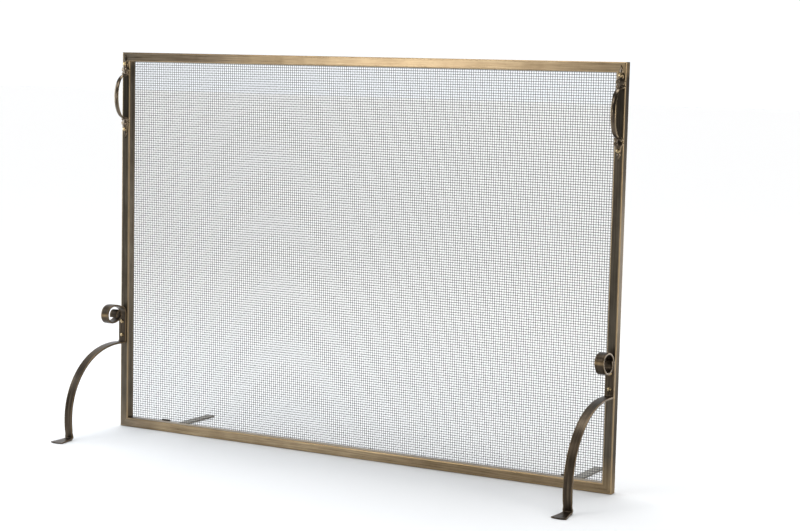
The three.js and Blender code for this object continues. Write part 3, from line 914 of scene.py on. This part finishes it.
def screw(node, radius, rise, material, slot, backwards=False):
    """A screw's head where the frame has it; its shank is hidden."""
    low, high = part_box(node)
    slot_turn = (low.x * SLOT_TURNS[0] + low.z * SLOT_TURNS[1]) % math.pi
    mesh = head_mesh(f"{node}_head", radius, rise, slot_turn)
    seat = high.y - rise if backwards else low.y + rise
    if backwards:
        mesh.transform(Matrix.Rotation(math.pi, 4, "Z"))
    mesh.transform(Matrix.Translation(((low.x + high.x) / 2, seat, (low.z + high.z) / 2)))
    turn_out(mesh, sharp=50)
    add_piece(mesh, [material], slot, node)


def front_screws(word):
    """The brass heads on one side's handle and leg."""
    for kind in ("handle", "leg"):
        for number in (1, 2):
            screw(f"{word}_{kind}_screw_{number}", SCREW_HEAD, SCREW_RISE, BRASS, "brass")


def back_screws():
    """The small dark heads behind the strips and the rear feet."""
    for node in sorted(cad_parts):
        if "strip_screw" in node or "foot_screw" in node:
            screw(node, SMALL_HEAD, SMALL_RISE, ZINC, "screw", backwards=True)


frame_pieces()
wire_panel()
for word, side in (("left", -1), ("right", 1)):
    leg(word, side)
    handle(word, side)
    front_screws(word)
back_screws()


# ---- Floor, light and camera ----

FLOOR_REACH = 40
FLOOR_DROP = 0.5 * MM
FLOOR_DIM = -1.7  # from here towards the room, the floor's colour is painted dim
FLOOR_BRIGHT = 2
FLOOR_ROUGHNESS = 0.9
FLOOR_SHINE = 0.1
FLOOR_PAINTED_SHADE = (0, (0.42, 0.42, 0.42)), (0.23, (0.82, 0.838, 0.86)), (1, (0.99, 0.99, 0.99))

BRIGHT_WAY = (-0.62, 0.78, 0)  # where the surround is white, as the camera looks at the object
SURROUND_TONES = (
    (0.3, (0.11, 0.11, 0.11)), (0.6, (0.2, 0.2, 0.2)), (0.8, (0.36, 0.36, 0.36)),
    (0.94, (1.02, 1.05, 1.09)),
)

# Name, place, what it points at, width, height, watts and colour.
LAMPS = (
    ("window", (-1.52, -3.1, 0.8), (0, 0, 0.78), 0.55, 0.8, 12, (1, 0.97, 0.92)),
    ("side", (-2.3, -0.6, 0.9), (-0.5, 0, 0.4), 1.2, 1.4, 26, (0.84, 0.92, 1)),
    ("right", (3.3, -1.35, 0.9), (0.3, 0, 0.5), 0.7, 1.6, 34, (1, 0.95, 0.87)),
    ("low", (1.35, 1.9, 0.2), (0.6, 0, 0.3), 0.6, 0.4, 4.8, (1, 0.96, 0.9)),
    ("above", (-1.1, -1.9, 2.3), (-0.3, 0, 0.5), 1.4, 0.9, 16, (1, 0.98, 0.95)),
)
SUN_STRENGTH = 2.45
SUN_ANGLE = 50  # degrees across
SUN_WAY = (0.1, -0.25, -1)

# The camera's place in metres, its turns in radians, its lens and sensor in millimetres.
CAMERA_PLACE = (1.7469, -3.0314, 0.7646)
CAMERA_YAW = 0.496775
CAMERA_PITCH = 0.10862
CAMERA_ROLL = 0.023001
CAMERA_LENS = 80.83
SENSOR_WIDTH = 36
CLIP_END = 200


def floor():
    """A white floor under and behind the object, with painted shade that darkens its colour towards
    the room.
    """
    corners = [(x, y, 0) for x, y in ((-1, -1), (1, -1), (1, 1), (-1, 1))]
    mesh = bpy.data.meshes.new("floor")
    mesh.from_pydata(np.array(corners) * FLOOR_REACH, [], [(0, 1, 2, 3)])
    material, tree, shader = new_material("pale_floor")
    back = spread(tree, axes_of(tree, "Object")["Y"], 0, 1, FLOOR_DIM, FLOOR_BRIGHT)
    tree.links.new(ramp(tree, back, *FLOOR_PAINTED_SHADE), shader.inputs["Base Color"])
    shader.inputs["Roughness"].default_value = FLOOR_ROUGHNESS
    shader.inputs["Specular IOR Level"].default_value = FLOOR_SHINE
    mesh.materials.append(material)
    thing = new_object("floor", mesh)
    thing.location.z = -FLOOR_DROP


def aim(lamp, way):
    """Points a lamp along a direction."""
    lamp.rotation_euler = Vector(way).to_track_quat("-Z", "Y").to_euler()


def area_light(name, place, target, width, height, power, colour):
    """A soft rectangular lamp."""
    data = bpy.data.lights.new(name, "AREA")
    data.shape = "RECTANGLE"
    data.size = width
    data.size_y = height
    data.energy = power
    data.color = colour
    lamp = new_object(name, data)
    lamp.location = place
    aim(lamp, Vector(target) - Vector(place))


def overhead():
    """A broad light from above, a little from behind."""
    data = bpy.data.lights.new("overhead", "SUN")
    data.energy = SUN_STRENGTH
    data.angle = math.radians(SUN_ANGLE)
    aim(new_object("overhead", data), SUN_WAY)


def surround():
    """White behind the object, and as dim as a room in front of it."""
    world = bpy.data.worlds.new("studio")
    bpy.context.scene.world = world
    world.use_nodes = True
    tree = world.node_tree
    facing = tree.nodes.new("ShaderNodeVectorMath")
    facing.operation = "DOT_PRODUCT"
    facing.inputs[1].default_value = BRIGHT_WAY
    place = tree.nodes.new("ShaderNodeTexCoord")
    tree.links.new(place.outputs["Generated"], facing.inputs[0])
    toward = spread(tree, facing.outputs["Value"], 0, 1, -1, 1)
    glow = ramp(tree, toward, *SURROUND_TONES, interpolation="EASE")
    tree.links.new(glow, tree.nodes["Background"].inputs["Color"])


def camera():
    """The camera, which looks from the right and from a little above."""
    data = bpy.data.cameras.new("camera")
    data.sensor_width = SENSOR_WIDTH
    data.lens = CAMERA_LENS
    data.clip_end = CLIP_END
    level = Vector((math.cos(CAMERA_YAW), math.sin(CAMERA_YAW), 0))
    ahead = Vector((-math.sin(CAMERA_YAW), math.cos(CAMERA_YAW), 0)) * math.cos(CAMERA_PITCH)
    ahead.z = -math.sin(CAMERA_PITCH)
    upright = level.cross(ahead)
    right = math.cos(CAMERA_ROLL) * level + math.sin(CAMERA_ROLL) * upright
    up = -math.sin(CAMERA_ROLL) * level + math.cos(CAMERA_ROLL) * upright
    turned = Matrix((right, up, -ahead)).transposed().to_4x4()
    thing = new_object("camera", data)
    thing.matrix_world = Matrix.Translation(CAMERA_PLACE) @ turned
    bpy.context.scene.camera = thing


floor()
surround()
for lamp in LAMPS:
    area_light(*lamp)
overhead()
camera()
bpy.context.scene.view_settings.view_transform = "Standard"
